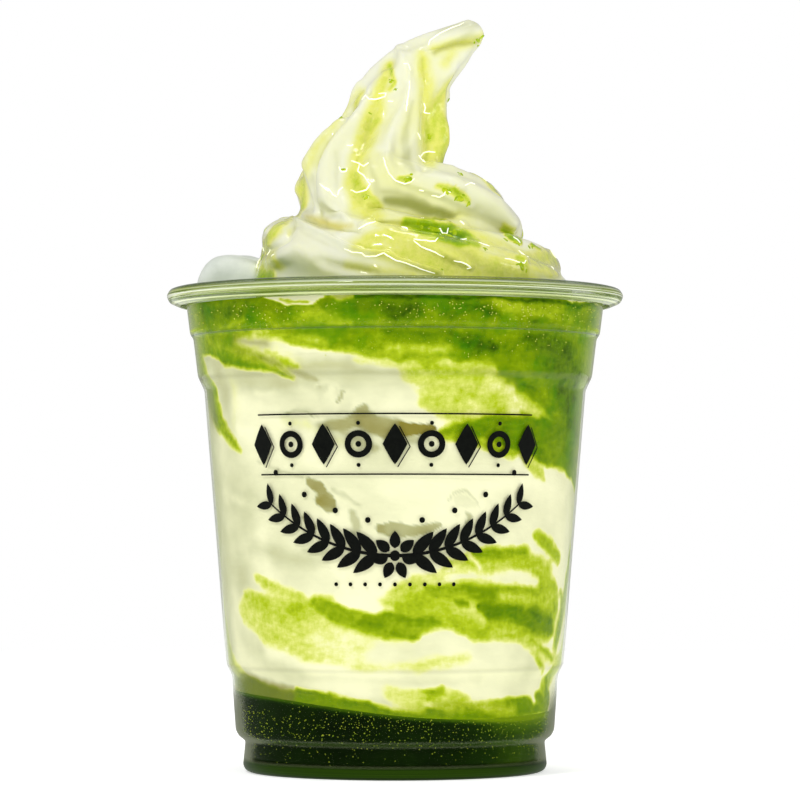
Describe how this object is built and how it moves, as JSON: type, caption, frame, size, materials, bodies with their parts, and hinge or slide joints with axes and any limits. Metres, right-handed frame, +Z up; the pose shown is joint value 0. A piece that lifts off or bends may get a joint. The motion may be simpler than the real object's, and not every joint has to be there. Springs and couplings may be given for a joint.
{
  "type": "affogato cup",
  "caption": "A clear cold cup with layers of green syrup and soft serve, topped by a lobed soft-serve swirl with green syrup on it and a piece of ice",
  "frame": {"origin": "On the cup's axis at the height of the flat ring that it stands on", "axes": "+Z up, from the foot to the swirl's peak. The front faces -Y, and seen from there +X is to the right, where the peak leans."},
  "size_m": [0.0984, 0.0984, 0.1621],
  "materials": {
    "clear_plastic": "clear, thin and glossy",
    "dark_syrup": "dark green syrup with fine specks",
    "soft_serve": "smooth cream with marbling of green syrup",
    "bright_syrup": "bright green syrup with bubbles",
    "glaze": "thin wet syrup with green pulp",
    "ice": "wet cloudy ice",
    "print": "black ink"
  },
  "bodies": {
    "root": {"cup": "clear_plastic", "dark_syrup": "dark_syrup", "soft_serve": "soft_serve", "bright_syrup": "bright_syrup", "swirl": "soft_serve", "ice": "ice"}
  },
  "joints": []
}
